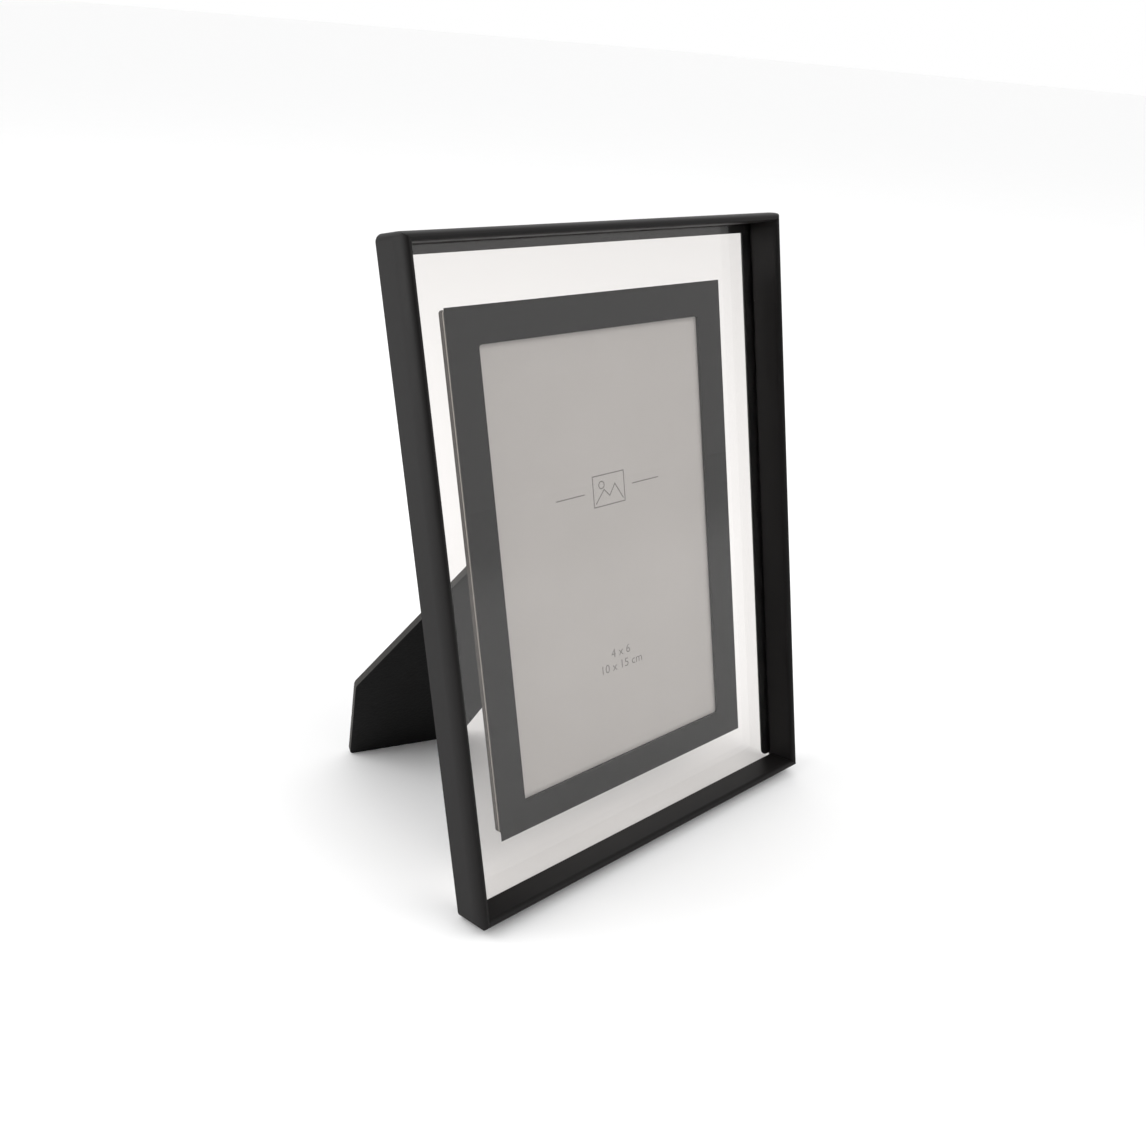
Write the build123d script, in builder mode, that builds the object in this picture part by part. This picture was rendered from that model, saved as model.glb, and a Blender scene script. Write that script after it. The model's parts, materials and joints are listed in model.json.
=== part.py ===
"""Tabletop floating frame: a mitred moulding, one large pane, a small print pack and an easel leg."""
import os
from math import cos, radians, sin, tan

from build123d import *

# ---------------------------------------------------------------- moulding
FRAME_W = 155.0
FRAME_H = 210.0
FRAME_D = 14.0
WALL = 3.2
CORNER_R = 2.5
NOSE_INSET = 1.9
NOSE_OUTER_DROP = 6.0
NOSE_INNER_DROP = 2.0
REAR_WALL = 1.2

# ---------------------------------------------------------------- pane and the strips that hold it
GLASS_T = 2.0
GLASS_PLAY = 0.2
GLASS_CORNER_R = 0.8
STRIP_T = 0.6
STRIP_PLAY = 0.05
STRIP_REACH = 2.85
STRIP_FOOT = 2.5
STRIP_FOOT_R = 3.0

# ---------------------------------------------------------------- corner nails
NAIL_T = 0.5
NAIL_LEG = 6.0
NAIL_DEPTH = 4.0

# ---------------------------------------------------------------- print, border and backing pack
PRINT_W = 101.6
PRINT_H = 152.4
PRINT_T = 0.3
PRINT_MID_W = 103.5
SIDE_LIP = 3.8
END_LIP = 2.35
WINDOW_R = 1.0
BORDER_W = 116.3
BORDER_H = 169.6
BORDER_MID_W = 104.05
BORDER_T = 0.1
PACK_W = 116.0
PACK_H = 166.4
PACK_MID_W = 105.0
PACK_R = 1.0
APERTURE_T = 1.2
RIM_T = 1.9
POCKET_PLAY = 0.5
BOARD_PLAY = 0.3

# ---------------------------------------------------------------- turn buttons
BUTTON_T = 0.5
BUTTON_WIDTH = 4.4
BUTTON_REACH = 9.0
BUTTON_GAP = 0.15
BUTTON_HOLE_PLAY = 0.08
BUTTON_RIVET_R = 1.1
BUTTON_HEAD_R = 2.2
BUTTON_HEAD_T = 0.6
BUTTON_END_U = 20.0
BUTTON_SIDE_W = 125.0

# ---------------------------------------------------------------- stance, leg and its hinge
LEAN = 14.0
LEAN_ON_SIDE = 10.7
LEG_OPEN = 36.0
HINGE_U = 9.0
HINGE_W = 128.0
HINGE_SLOPE = -31.0
LEG_T = 3.0
LEG_HALF_W = 19.5
LEG_HIGH_TAPER = 2.8
LEG_LOW_TAPER = 5.6
LEG_START = 2.4
LEG_CORNER_R = 1.2
FOLDED_GAP = 0.5
SHEET_T = 0.6
KNUCKLE_R = 1.6
PIN_R = 0.8
PIN_PLAY = 0.05
PIN_OVERHANG = 0.4
PLATE_LEN = 38.0
PLATE_DEPTH = 12.0
PLATE_CORNER_R = 1.5
LEAF_LEN = 34.0
LEAF_NEAR = 3.0
LEAF_DEPTH = 14.0
KNUCKLE_MID = 14.0
KNUCKLE_GAP = 0.3
STOP_GAP = 0.3
HINGE_RIVET_R = 1.2
HINGE_HEAD_R = 2.4
HINGE_HEAD_T = 0.7
PLATE_RIVET_S = 12.0
LEAF_RIVET_S = 11.0

# ---------------------------------------------------------------- sizes that follow from the ones above
lean = radians(LEAN)
front = Vector(0, -cos(lean), sin(lean))
up = Vector(0, sin(lean), cos(lean))
across = Vector(1, 0, 0)
seat_h = STRIP_T + GLASS_T
glass_w = FRAME_W - 2 * (REAR_WALL + GLASS_PLAY)
glass_h = FRAME_H - 2 * (REAR_WALL + GLASS_PLAY)
border_back = STRIP_T - BORDER_T
aperture_back = border_back - APERTURE_T
pack_back = aperture_back - RIM_T
print_back = aperture_back - PRINT_T
board_t = RIM_T - PRINT_T
window_w = PRINT_W - 2 * SIDE_LIP
window_h = PRINT_H - 2 * END_LIP
pocket_w = PRINT_W + 2 * POCKET_PLAY
pocket_h = PRINT_H + 2 * POCKET_PLAY
board_w = pocket_w - 2 * BOARD_PLAY
board_h = pocket_h - 2 * BOARD_PLAY
nail_inset = (REAR_WALL + WALL - NAIL_T) / 2
leg_rear = KNUCKLE_R - SHEET_T
leg_front = leg_rear - LEG_T
axis_off = FOLDED_GAP - leg_front


def leaning_plane(shift_y):
    """Return the plane of the frame's back: x across, y up the frame, z towards the front."""
    return Plane(origin=(0, shift_y, 0), x_dir=(1, 0, 0), z_dir=(front.X, front.Y, front.Z))


def hinge_plane(face):
    """Return the plane of the pack's back at the hinge: x along the pin, y down the folded leg."""
    slope = radians(HINGE_SLOPE)
    centre = face.from_local_coords((HINGE_U, HINGE_W, pack_back))
    along = across * cos(slope) + up * sin(slope)
    return Plane(origin=centre, x_dir=along, z_dir=front * -1)


def open_leg_plane(hinge):
    """Return the opened leg's plane, through the pin's axis: x along the pin, y down the leg."""
    opened = radians(LEG_OPEN)
    centre = hinge.from_local_coords((0, 0, axis_off))
    normal = hinge.z_dir * cos(opened) - hinge.y_dir * sin(opened)
    return Plane(origin=centre, x_dir=hinge.x_dir, z_dir=normal)


def resting_line(plane, point, normal):
    """Return (a, b, c) of the line a*x + b*y = c where a resting surface crosses a plane."""
    return (normal.dot(plane.x_dir), normal.dot(plane.y_dir), normal.dot(point - plane.origin))


def crossing(first, second):
    """Return the point where two lines of a plane cross."""
    det = first[0] * second[1] - first[1] * second[0]
    x = (first[2] * second[1] - first[1] * second[2]) / det
    y = (first[0] * second[2] - first[2] * second[0]) / det
    return (x, y)


def leg_outline(leg_face, face):
    """Return the leg's five corners: the hinge edge, then down to the two resting edges."""
    high_taper = tan(radians(LEG_HIGH_TAPER))
    low_taper = tan(radians(LEG_LOW_TAPER))
    side = radians(LEAN_ON_SIDE)
    side_normal = across * cos(side) + front * sin(side)
    side_point = face.from_local_coords((-FRAME_W / 2, 0, 0))
    upright = resting_line(leg_face, Vector(0, 0, 0), Vector(0, 0, 1))
    sideways = resting_line(leg_face, side_point, side_normal)
    high_edge = (-1, -high_taper, LEG_HALF_W)
    low_edge = (1, -low_taper, LEG_HALF_W)
    return [
        (-LEG_HALF_W - LEG_START * high_taper, LEG_START),
        (LEG_HALF_W + LEG_START * low_taper, LEG_START),
        crossing(low_edge, upright),
        crossing(upright, sideways),
        crossing(sideways, high_edge),
    ]


def middle_shift():
    """Return the shift along Y that puts the origin under the middle of the standing object."""
    face = leaning_plane(0)
    leg = open_leg_plane(hinge_plane(face))
    foot = leg_outline(leg.offset(leg_front), face)[3]
    rearmost = leg.from_local_coords((foot[0], foot[1], leg_rear)).Y
    foremost = (front * FRAME_D).Y
    return -(rearmost + foremost) / 2


FACE = leaning_plane(middle_shift())
HINGE = hinge_plane(FACE)
LEG = open_leg_plane(HINGE)
PIN_PLANE = Plane(origin=LEG.origin, x_dir=HINGE.y_dir, z_dir=HINGE.x_dir)
LEG_PIN_PLANE = Plane(origin=LEG.origin, x_dir=LEG.y_dir, z_dir=LEG.x_dir)


def save(part, label):
    """Label a finished piece and write it to its own file."""
    part.label = label
    export_step(part, f"parts/{label}.step")


def nail_outline(side, end):
    """Return the L-shaped outline of one corner nail, in the frame's own x and y."""
    near = nail_inset
    far = nail_inset + NAIL_LEG
    thick = nail_inset + NAIL_T
    corners = [(near, near), (far, near), (far, thick), (thick, thick), (thick, far), (near, far)]
    middle = FRAME_H / 2
    return [(side * (FRAME_W / 2 - x), middle + end * (middle - y)) for x, y in corners]


# ---------------------------------------------------------------- the four mitred rails
os.makedirs("parts", exist_ok=True)

rails = {
    "bottom_rail": ((0, 0), up, FRAME_W),
    "top_rail": ((0, FRAME_H), up * -1, FRAME_W),
    "left_rail": ((-FRAME_W / 2, FRAME_H / 2), across, FRAME_H),
    "right_rail": ((FRAME_W / 2, FRAME_H / 2), across * -1, FRAME_H),
}
for rail_name, (middle, inward, run) in rails.items():
    start = FACE.from_local_coords((middle[0], middle[1], 0))
    along = inward.cross(front)
    with BuildPart() as rail:
        with BuildSketch(Plane(origin=start, x_dir=inward, z_dir=along)):
            with BuildLine():
                Line((0, FRAME_D - NOSE_OUTER_DROP), (0, 0))
                Line((0, 0), (REAR_WALL, 0))
                Line((REAR_WALL, 0), (REAR_WALL, seat_h))
                Line((REAR_WALL, seat_h), (WALL, seat_h))
                Line((WALL, seat_h), (WALL, FRAME_D - NOSE_INNER_DROP))
                EllipticalCenterArc(
                    (NOSE_INSET, FRAME_D - NOSE_INNER_DROP),
                    WALL - NOSE_INSET,
                    NOSE_INNER_DROP,
                    start_angle=0,
                    arc_size=90)
                EllipticalCenterArc(
                    (NOSE_INSET, FRAME_D - NOSE_OUTER_DROP),
                    NOSE_INSET,
                    NOSE_OUTER_DROP,
                    start_angle=90,
                    arc_size=90)
            make_face()
        extrude(amount=run / 2, both=True)
        for end in (-1, 1):
            corner = start + along * (end * run / 2)
            split(bisect_by=Plane(origin=corner, z_dir=along * end + inward), keep=Keep.BOTTOM)
        with BuildSketch(FACE):
            with Locations((0, FRAME_H / 2)):
                RectangleRounded(FRAME_W, FRAME_H, CORNER_R)
        extrude(amount=FRAME_D, mode=Mode.INTERSECT)
        with BuildSketch(FACE.offset(seat_h)):
            for side in (-1, 1):
                for end in (-1, 1):
                    with BuildLine():
                        Polyline(*nail_outline(side, end), close=True)
                    make_face()
        extrude(amount=NAIL_DEPTH, mode=Mode.SUBTRACT)
    save(rail.part, rail_name)

with BuildPart() as corner_v_nails:
    with BuildSketch(FACE.offset(seat_h)):
        for side in (-1, 1):
            for end in (-1, 1):
                with BuildLine():
                    Polyline(*nail_outline(side, end), close=True)
                make_face()
    extrude(amount=NAIL_DEPTH)
save(corner_v_nails.part, "corner_v_nails")

# ---------------------------------------------------------------- pane and its strips
with BuildPart() as glass_pane:
    with BuildSketch(FACE.offset(STRIP_T)):
        with Locations((0, FRAME_H / 2)):
            RectangleRounded(glass_w, glass_h, GLASS_CORNER_R)
    extrude(amount=GLASS_T)
save(glass_pane.part, "glass_pane")

strip_outer = REAR_WALL + STRIP_PLAY
strip_inner = WALL + STRIP_REACH
strip_width = strip_inner - strip_outer
strip_top = FRAME_H - strip_inner
with BuildPart() as glazing_strip_top:
    with BuildSketch(FACE):
        with Locations((0, FRAME_H - strip_outer - strip_width / 2)):
            Rectangle(FRAME_W - 2 * strip_outer, strip_width)
    extrude(amount=STRIP_T)
save(glazing_strip_top.part, "glazing_strip_top")

for strip_name, side in (("glazing_strip_left", -1), ("glazing_strip_right", 1)):
    outer_u = side * (FRAME_W / 2 - strip_outer)
    inner_u = side * (FRAME_W / 2 - strip_inner)
    with BuildPart() as glazing_strip_side:
        with BuildSketch(FACE) as strip_sketch:
            with BuildLine():
                Polyline(
                    (outer_u, STRIP_FOOT),
                    (inner_u, STRIP_FOOT),
                    (inner_u, strip_top),
                    (outer_u, strip_top),
                    close=True)
            make_face()
            foot_corner = strip_sketch.vertices().sort_by_distance((inner_u, STRIP_FOOT))[0]
            fillet(foot_corner, STRIP_FOOT_R)
        extrude(amount=STRIP_T)
    save(glazing_strip_side.part, strip_name)

# ---------------------------------------------------------------- border, print and the boards behind it
with BuildPart() as printed_border:
    with BuildSketch(FACE.offset(border_back)):
        with Locations((0, BORDER_MID_W)):
            Rectangle(BORDER_W, BORDER_H)
        with Locations((0, PRINT_MID_W)):
            RectangleRounded(window_w, window_h, WINDOW_R, mode=Mode.SUBTRACT)
    extrude(amount=BORDER_T)
save(printed_border.part, "printed_border")

with BuildPart() as aperture_board:
    with BuildSketch(FACE.offset(aperture_back)):
        with Locations((0, PACK_MID_W)):
            RectangleRounded(PACK_W, PACK_H, PACK_R)
        with Locations((0, PRINT_MID_W)):
            RectangleRounded(window_w, window_h, WINDOW_R, mode=Mode.SUBTRACT)
    extrude(amount=APERTURE_T)
save(aperture_board.part, "aperture_board")

with BuildPart() as photo_insert:
    with BuildSketch(FACE.offset(print_back)):
        with Locations((0, PRINT_MID_W)):
            Rectangle(PRINT_W, PRINT_H)
    extrude(amount=PRINT_T)
save(photo_insert.part, "photo_insert")

button_side_u = (pocket_w + PACK_W) / 4
button_top_w = (PRINT_MID_W + pocket_h / 2 + PACK_MID_W + PACK_H / 2) / 2
button_bottom_w = (PRINT_MID_W - pocket_h / 2 + PACK_MID_W - PACK_H / 2) / 2
buttons = {
    "turn_button_top": ((BUTTON_END_U, button_top_w), (0, -1)),
    "turn_button_bottom": ((BUTTON_END_U, button_bottom_w), (0, 1)),
    "turn_button_left": ((-button_side_u, BUTTON_SIDE_W), (1, 0)),
    "turn_button_right": ((button_side_u, BUTTON_SIDE_W), (-1, 0)),
}
pivots = [pivot for pivot, pointing in buttons.values()]

with BuildPart() as backing_rim:
    with BuildSketch(FACE.offset(pack_back)):
        with Locations((0, PACK_MID_W)):
            RectangleRounded(PACK_W, PACK_H, PACK_R)
        with Locations((0, PRINT_MID_W)):
            Rectangle(pocket_w, pocket_h, mode=Mode.SUBTRACT)
        with Locations(*pivots):
            Circle(BUTTON_RIVET_R, mode=Mode.SUBTRACT)
    extrude(amount=RIM_T)
save(backing_rim.part, "backing_rim")

plate_mid_y = -(KNUCKLE_R + PLATE_DEPTH / 2) + SHEET_T
plate_rivets_at = [(-PLATE_RIVET_S, plate_mid_y), (PLATE_RIVET_S, plate_mid_y)]
leaf_mid_y = LEAF_NEAR + LEAF_DEPTH / 2
leaf_rivets_at = [(-LEAF_RIVET_S, leaf_mid_y), (LEAF_RIVET_S, leaf_mid_y)]

with BuildPart() as back_board:
    with BuildSketch(FACE.offset(pack_back)):
        with Locations((0, PRINT_MID_W)):
            Rectangle(board_w, board_h)
    extrude(amount=board_t)
    with BuildSketch(HINGE):
        with Locations(*plate_rivets_at):
            Circle(HINGE_RIVET_R)
    extrude(amount=-board_t, mode=Mode.SUBTRACT)
save(back_board.part, "back_board")

# ---------------------------------------------------------------- turn buttons and their rivets
button_back = pack_back - BUTTON_GAP - BUTTON_T
head_front = button_back - BUTTON_GAP
for button_name, (pivot, pointing) in buttons.items():
    mid_u = pivot[0] + pointing[0] * BUTTON_REACH / 2
    mid_w = pivot[1] + pointing[1] * BUTTON_REACH / 2
    turn = 0 if pointing[0] else 90
    with BuildPart() as turn_button:
        with BuildSketch(FACE.offset(button_back)):
            with Locations((mid_u, mid_w)):
                SlotCenterToCenter(BUTTON_REACH, BUTTON_WIDTH, rotation=turn)
            with Locations(pivot):
                Circle(BUTTON_RIVET_R + BUTTON_HOLE_PLAY, mode=Mode.SUBTRACT)
        extrude(amount=BUTTON_T)
    save(turn_button.part, button_name)

with BuildPart() as turn_button_rivets:
    with BuildSketch(FACE.offset(head_front)):
        with Locations(*pivots):
            Circle(BUTTON_RIVET_R)
    extrude(amount=aperture_back - head_front)
    with BuildSketch(FACE.offset(head_front - BUTTON_HEAD_T)):
        with Locations(*pivots):
            Circle(BUTTON_HEAD_R)
    extrude(amount=BUTTON_HEAD_T)
save(turn_button_rivets.part, "turn_button_rivets")

# ---------------------------------------------------------------- hinge
end_knuckle = (PLATE_LEN - KNUCKLE_MID) / 2 - KNUCKLE_GAP
with BuildPart() as hinge_plate:
    with BuildSketch(HINGE):
        with Locations((0, plate_mid_y)):
            RectangleRounded(PLATE_LEN, PLATE_DEPTH, PLATE_CORNER_R)
        with Locations(*plate_rivets_at):
            Circle(HINGE_RIVET_R, mode=Mode.SUBTRACT)
    extrude(amount=SHEET_T)
    for knuckle_start in (-PLATE_LEN / 2, KNUCKLE_MID / 2 + KNUCKLE_GAP):
        with BuildSketch(PIN_PLANE.offset(knuckle_start)):
            Circle(KNUCKLE_R)
            with Locations((-KNUCKLE_R + SHEET_T / 2, -axis_off / 2)):
                Rectangle(SHEET_T, axis_off)
            Circle(PIN_R, mode=Mode.SUBTRACT)
        extrude(amount=end_knuckle)
save(hinge_plate.part, "hinge_plate")

stop_room = axis_off + leg_rear * cos(radians(LEG_OPEN)) - SHEET_T - STOP_GAP
heel = stop_room / sin(radians(LEG_OPEN))
with BuildPart() as hinge_leaf:
    with BuildSketch(LEG.offset(leg_rear)):
        with Locations((0, leaf_mid_y)):
            RectangleRounded(LEAF_LEN, LEAF_DEPTH, PLATE_CORNER_R)
        with Locations((0, (leaf_mid_y - heel) / 2)):
            Rectangle(KNUCKLE_MID, leaf_mid_y + heel)
        with Locations(*leaf_rivets_at):
            Circle(HINGE_RIVET_R, mode=Mode.SUBTRACT)
    extrude(amount=SHEET_T)
    with BuildSketch(LEG_PIN_PLANE.offset(-KNUCKLE_MID / 2)):
        Circle(KNUCKLE_R)
        Circle(PIN_R + PIN_PLAY, mode=Mode.SUBTRACT)
    extrude(amount=KNUCKLE_MID)
save(hinge_leaf.part, "hinge_leaf")

with BuildPart() as hinge_pin:
    with BuildSketch(PIN_PLANE.offset(-PLATE_LEN / 2 - PIN_OVERHANG)):
        Circle(PIN_R)
    extrude(amount=PLATE_LEN + 2 * PIN_OVERHANG)
save(hinge_pin.part, "hinge_pin")

with BuildPart() as plate_rivets:
    with BuildSketch(HINGE.offset(-board_t)):
        with Locations(*plate_rivets_at):
            Circle(HINGE_RIVET_R)
    extrude(amount=board_t + SHEET_T)
    with BuildSketch(HINGE.offset(SHEET_T)):
        with Locations(*plate_rivets_at):
            Circle(HINGE_HEAD_R)
    extrude(amount=HINGE_HEAD_T)
save(plate_rivets.part, "plate_rivets")

with BuildPart() as leaf_rivets:
    with BuildSketch(LEG.offset(leg_front)):
        with Locations(*leaf_rivets_at):
            Circle(HINGE_RIVET_R)
    extrude(amount=LEG_T + SHEET_T)
    with BuildSketch(LEG.offset(leg_rear + SHEET_T)):
        with Locations(*leaf_rivets_at):
            Circle(HINGE_HEAD_R)
    extrude(amount=HINGE_HEAD_T)
save(leaf_rivets.part, "leaf_rivets")

# ---------------------------------------------------------------- easel leg
with BuildPart() as easel_leg:
    with BuildSketch(LEG.offset(leg_front)) as leg_sketch:
        with BuildLine():
            Polyline(*leg_outline(LEG.offset(leg_front), FACE), close=True)
        make_face()
        fillet(leg_sketch.vertices(), LEG_CORNER_R)
        with Locations(*leaf_rivets_at):
            Circle(HINGE_RIVET_R, mode=Mode.SUBTRACT)
    extrude(amount=LEG_T)
save(easel_leg.part, "easel_leg")
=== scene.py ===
"""Looks of a leaning tabletop frame: mitred moulding, wide pane, small print pack, easel leg."""
import json
import logging
import math
from dataclasses import dataclass
from enum import Enum
from typing import Callable, Iterable, Sequence, Union

import bpy
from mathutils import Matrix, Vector


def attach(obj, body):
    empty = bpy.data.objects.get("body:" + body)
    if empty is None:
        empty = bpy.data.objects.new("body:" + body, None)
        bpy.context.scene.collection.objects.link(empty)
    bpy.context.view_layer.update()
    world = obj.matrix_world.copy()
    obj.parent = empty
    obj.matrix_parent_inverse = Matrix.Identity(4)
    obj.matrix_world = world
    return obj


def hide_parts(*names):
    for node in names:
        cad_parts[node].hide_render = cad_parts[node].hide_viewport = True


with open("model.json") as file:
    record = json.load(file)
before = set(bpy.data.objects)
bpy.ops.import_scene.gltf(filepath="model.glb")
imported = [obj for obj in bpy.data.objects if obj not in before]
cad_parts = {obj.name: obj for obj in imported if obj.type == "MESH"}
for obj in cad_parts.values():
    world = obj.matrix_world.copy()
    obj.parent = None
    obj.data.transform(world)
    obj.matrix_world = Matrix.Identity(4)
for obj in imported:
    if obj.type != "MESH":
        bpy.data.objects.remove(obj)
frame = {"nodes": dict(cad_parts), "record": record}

LOG = logging.getLogger("floating_frame")
MM = 0.001
HAIR = 1e-6
Number = Union[int, float, "Value"]
Colour = tuple[float, float, float]


# ------------------------------------------------------------------ shader graph helpers
class Value:
    """A single number travelling through a shader graph, with ordinary arithmetic."""

    def __init__(self, graph: "Graph", socket: bpy.types.NodeSocket) -> None:
        """Wrap a socket.

        Args:
            graph: The graph that owns the socket.
            socket: The output socket that carries the number.
        """
        self.graph = graph
        self.socket = socket

    def _math(self, operation: str, *operands: Number) -> "Value":
        """Join one math node.

        Args:
            operation: The math node's operation.
            operands: Its inputs in order.

        Returns:
            The node's answer.
        """
        inputs = dict(enumerate(operands))
        node = self.graph.node("ShaderNodeMath", {"operation": operation}, inputs)
        return Value(self.graph, node.outputs[0])

    def __add__(self, other: Number) -> "Value":
        """Return self + other."""
        return self._math("ADD", self, other)

    def __radd__(self, other: Number) -> "Value":
        """Return other + self."""
        return self._math("ADD", other, self)

    def __sub__(self, other: Number) -> "Value":
        """Return self - other."""
        return self._math("SUBTRACT", self, other)

    def __rsub__(self, other: Number) -> "Value":
        """Return other - self."""
        return self._math("SUBTRACT", other, self)

    def __mul__(self, other: Number) -> "Value":
        """Return self * other."""
        return self._math("MULTIPLY", self, other)

    def __rmul__(self, other: Number) -> "Value":
        """Return other * self."""
        return self._math("MULTIPLY", other, self)

    def power(self, exponent: Number) -> "Value":
        """Return the number raised to an exponent.

        Args:
            exponent: The exponent.

        Returns:
            The power.
        """
        return self._math("POWER", self, exponent)

    def above(self, limit: Number) -> "Value":
        """Return 1 where the number is above limit, else 0.

        Args:
            limit: The limit.

        Returns:
            The switch value.
        """
        return self._math("GREATER_THAN", self, limit)

    def ramp(self, low: float, high: float, start: float = 0.0, stop: float = 1.0) -> "Value":
        """Ease from start to stop while the number goes from low to high.

        Args:
            low: Number at which the answer is start.
            high: Number at which the answer is stop.
            start: Answer at low.
            stop: Answer at high.

        Returns:
            The eased number.
        """
        node = self.graph.node(
            "ShaderNodeMapRange",
            {"interpolation_type": "SMOOTHSTEP", "clamp": True},
            {"Value": self, "From Min": low, "From Max": high, "To Min": start, "To Max": stop},
        )
        return Value(self.graph, node.outputs["Result"])


class Graph:
    """One material and its nodes."""

    def __init__(self, name: str) -> None:
        """Start an empty material.

        Args:
            name: The material's name.
        """
        self.material = bpy.data.materials.new(name)
        self.material.use_nodes = True
        self.tree = self.material.node_tree
        self.tree.nodes.clear()

    def node(
        self, kind: str, settings: dict | None = None, inputs: dict | None = None
    ) -> bpy.types.Node:
        """Add one node.

        Args:
            kind: The node's type name.
            settings: Property values to set on it.
            inputs: Values or links by socket name or position.

        Returns:
            The new node.
        """
        made = self.tree.nodes.new(kind)
        for key, setting in (settings or {}).items():
            setattr(made, key, setting)
        for key, given in (inputs or {}).items():
            socket = made.inputs[key]
            source = given.socket if isinstance(given, Value) else given
            if isinstance(source, bpy.types.NodeSocket):
                self.tree.links.new(source, socket)
            elif isinstance(source, tuple) and len(source) == 3 and socket.type == "RGBA":
                socket.default_value = (*source, 1.0)
            else:
                socket.default_value = source
        return made

    def coords(self, scale: Sequence[float] = (1.0, 1.0, 1.0)) -> bpy.types.NodeSocket:
        """Return object coordinates, stretched by scale.

        Args:
            scale: Stretch along X, Y and Z.

        Returns:
            The vector socket.
        """
        source = self.node("ShaderNodeTexCoord")
        inputs = {"Vector": source.outputs["Object"], "Scale": Vector(scale)}
        return self.node("ShaderNodeMapping", {}, inputs).outputs["Vector"]

    def height_off(self, plane: "Place") -> Value:
        """Return the height of the shaded point off a plane.

        Args:
            plane: The plane.

        Returns:
            The height in metres.
        """
        here = self.node("ShaderNodeTexCoord").outputs["Object"]
        dot = self.node("ShaderNodeVectorMath", {"operation": "DOT_PRODUCT"}, {0: here, 1: plane.z})
        return Value(self, dot.outputs["Value"]) - plane.z.dot(plane.origin)

    def noise(
        self,
        where: bpy.types.NodeSocket,
        per_metre: float,
        detail: float = 4.0,
        rough: float = 0.55,
    ) -> Value:
        """Return fractal noise between 0 and 1.

        Args:
            where: The coordinates.
            per_metre: Cells per metre.
            detail: Octaves.
            rough: Weight of the finer octaves.

        Returns:
            The noise.
        """
        inputs = {"Vector": where, "Scale": per_metre, "Detail": detail, "Roughness": rough}
        return Value(self, self.node("ShaderNodeTexNoise", {}, inputs).outputs["Fac"])

    def cells(self, where: bpy.types.NodeSocket, per_metre: float) -> Value:
        """Return the distance to the nearest of scattered points.

        Args:
            where: The coordinates.
            per_metre: Points per metre.

        Returns:
            The distance in cells.
        """
        inputs = {"Vector": where, "Scale": per_metre}
        made = self.node("ShaderNodeTexVoronoi", {"feature": "F1"}, inputs)
        return Value(self, made.outputs["Distance"])

    def mixed(
        self,
        low: Colour | bpy.types.NodeSocket,
        high: Colour | bpy.types.NodeSocket,
        factor: Number,
    ) -> bpy.types.NodeSocket:
        """Return a colour between two colours.

        Args:
            low: Colour at factor 0.
            high: Colour at factor 1.
            factor: The share of high.

        Returns:
            The colour socket.
        """
        made = self.node("ShaderNodeMix", {"data_type": "RGBA"}, {"Factor": factor})
        for index, given in ((6, low), (7, high)):
            if isinstance(given, bpy.types.NodeSocket):
                self.tree.links.new(given, made.inputs[index])
            else:
                made.inputs[index].default_value = (*given, 1.0)
        return made.outputs[2]

    def bump(self, height: Value, depth: float, strength: float = 1.0) -> bpy.types.NodeSocket:
        """Return a normal disturbed by a height.

        Args:
            height: The height, in parts of depth.
            depth: Metres for a height of 1.
            strength: Share of the effect.

        Returns:
            The normal socket.
        """
        inputs = {"Height": height, "Distance": depth, "Strength": strength}
        return self.node("ShaderNodeBump", {}, inputs).outputs["Normal"]

    def surface(self, **inputs: object) -> bpy.types.Material:
        """Finish the material with one principled shader.

        Args:
            inputs: Socket values, with spaces written as underscores.

        Returns:
            The finished material.
        """
        named = {key.replace("_", " "): given for key, given in inputs.items()}
        shader = self.node("ShaderNodeBsdfPrincipled", {}, named)
        return self.close(shader.outputs["BSDF"])

    def close(self, shader: bpy.types.NodeSocket) -> bpy.types.Material:
        """Link a shader to the output.

        Args:
            shader: The shader socket.

        Returns:
            The finished material.
        """
        self.node("ShaderNodeOutputMaterial", {}, {"Surface": shader})
        return self.material


# ------------------------------------------------------------------ finishes
@dataclass(frozen=True)
class SatinMoulding:
    """Black satin moulding with a faint grain and a few lighter specks."""

    name: str = "satin moulding"
    deep: Colour = (0.0055, 0.0050, 0.0050)
    worn: Colour = (0.0110, 0.0099, 0.0098)
    roughness: float = 0.47
    gloss: float = 0.16
    clouds: float = 60.0
    grains: float = 2600.0
    specks: float = 420.0
    grain_depth: float = 0.02 * MM
    grain_strength: float = 0.35

    def build(self) -> bpy.types.Material:
        """Make the material.

        Returns:
            The material.
        """
        graph = Graph(self.name)
        where = graph.coords()
        cloud = graph.noise(where, self.clouds, 3.0)
        grain = graph.noise(where, self.grains, 2.0, 0.6)
        speck = graph.cells(where, self.specks).ramp(0.10, 0.05)
        tint = graph.mixed(self.deep, self.worn, cloud * 0.6 + grain * 0.3 + speck * 0.25)
        rough = self.roughness + (cloud - 0.5) * 0.10 + (grain - 0.5) * 0.06
        return graph.surface(
            Base_Color=tint,
            Roughness=rough,
            IOR=1.45,
            Specular_IOR_Level=self.gloss,
            Normal=graph.bump(grain, self.grain_depth, self.grain_strength),
        )


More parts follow.
